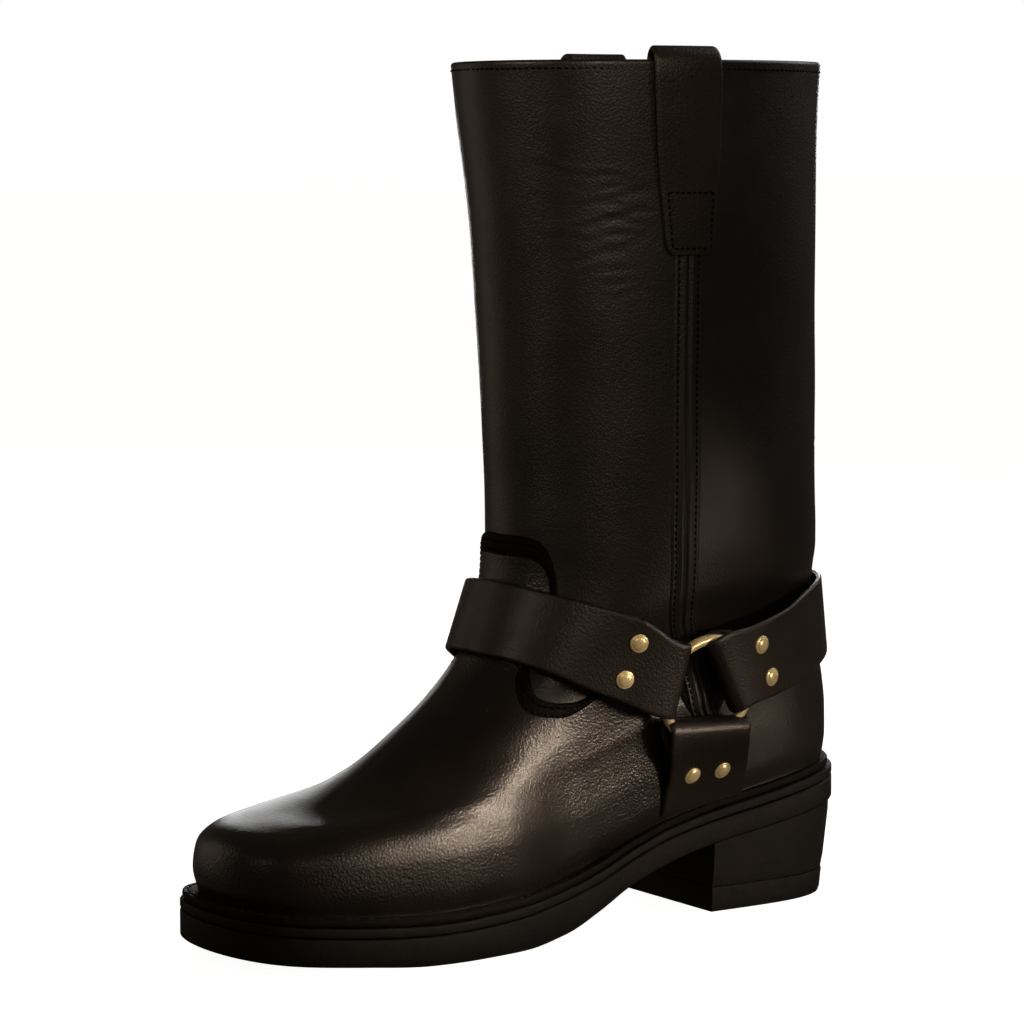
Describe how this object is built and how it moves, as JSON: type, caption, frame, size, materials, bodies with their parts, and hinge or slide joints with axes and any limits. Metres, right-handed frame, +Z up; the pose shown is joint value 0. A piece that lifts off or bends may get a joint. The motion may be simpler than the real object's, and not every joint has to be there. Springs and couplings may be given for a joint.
{
  "type": "tall harness boot",
  "caption": "Tall black leather harness boot for the left foot, with straps on metal rings, a snub toe, a welted rubber sole and a block heel.",
  "frame": {"origin": "on the floor under the middle of the bounding box", "axes": "+X to the toe, +Y to the outer side of the left foot, +Z up along the shaft"},
  "size_m": [0.284, 0.1252, 0.3355],
  "materials": {
    "upper_leather": "smooth satin black",
    "strap_leather": "satin black",
    "welt_leather": "dull dark brown",
    "insole_leather": "plain brown",
    "sole_rubber": "dull black",
    "brass": "polished"
  },
  "bodies": {
    "root": {"outsole": "sole_rubber", "midsole": "sole_rubber", "heel_block": "sole_rubber", "heel_top_lift": "sole_rubber", "welt": "welt_leather", "heel_rand": "welt_leather", "insole": "insole_leather", "upper": "upper_leather", "vamp": "upper_leather", "side_seam_lateral": "upper_leather", "side_seam_medial": "upper_leather", "pull_strap_lateral": "strap_leather", "pull_strap_medial": "strap_leather", "front_strap": "strap_leather", "back_strap": "strap_leather", "bottom_strap_lateral": "strap_leather", "bottom_strap_medial": "strap_leather", "ring_lateral": "brass", "ring_medial": "brass", "rivet_front_lateral_1": "brass", "rivet_front_lateral_2": "brass", "rivet_back_lateral_1": "brass", "rivet_back_lateral_2": "brass", "rivet_bottom_lateral_1": "brass", "rivet_bottom_lateral_2": "brass", "rivet_front_medial_1": "brass", "rivet_front_medial_2": "brass", "rivet_back_medial_1": "brass", "rivet_back_medial_2": "brass", "rivet_bottom_medial_1": "brass", "rivet_bottom_medial_2": "brass"}
  },
  "joints": []
}
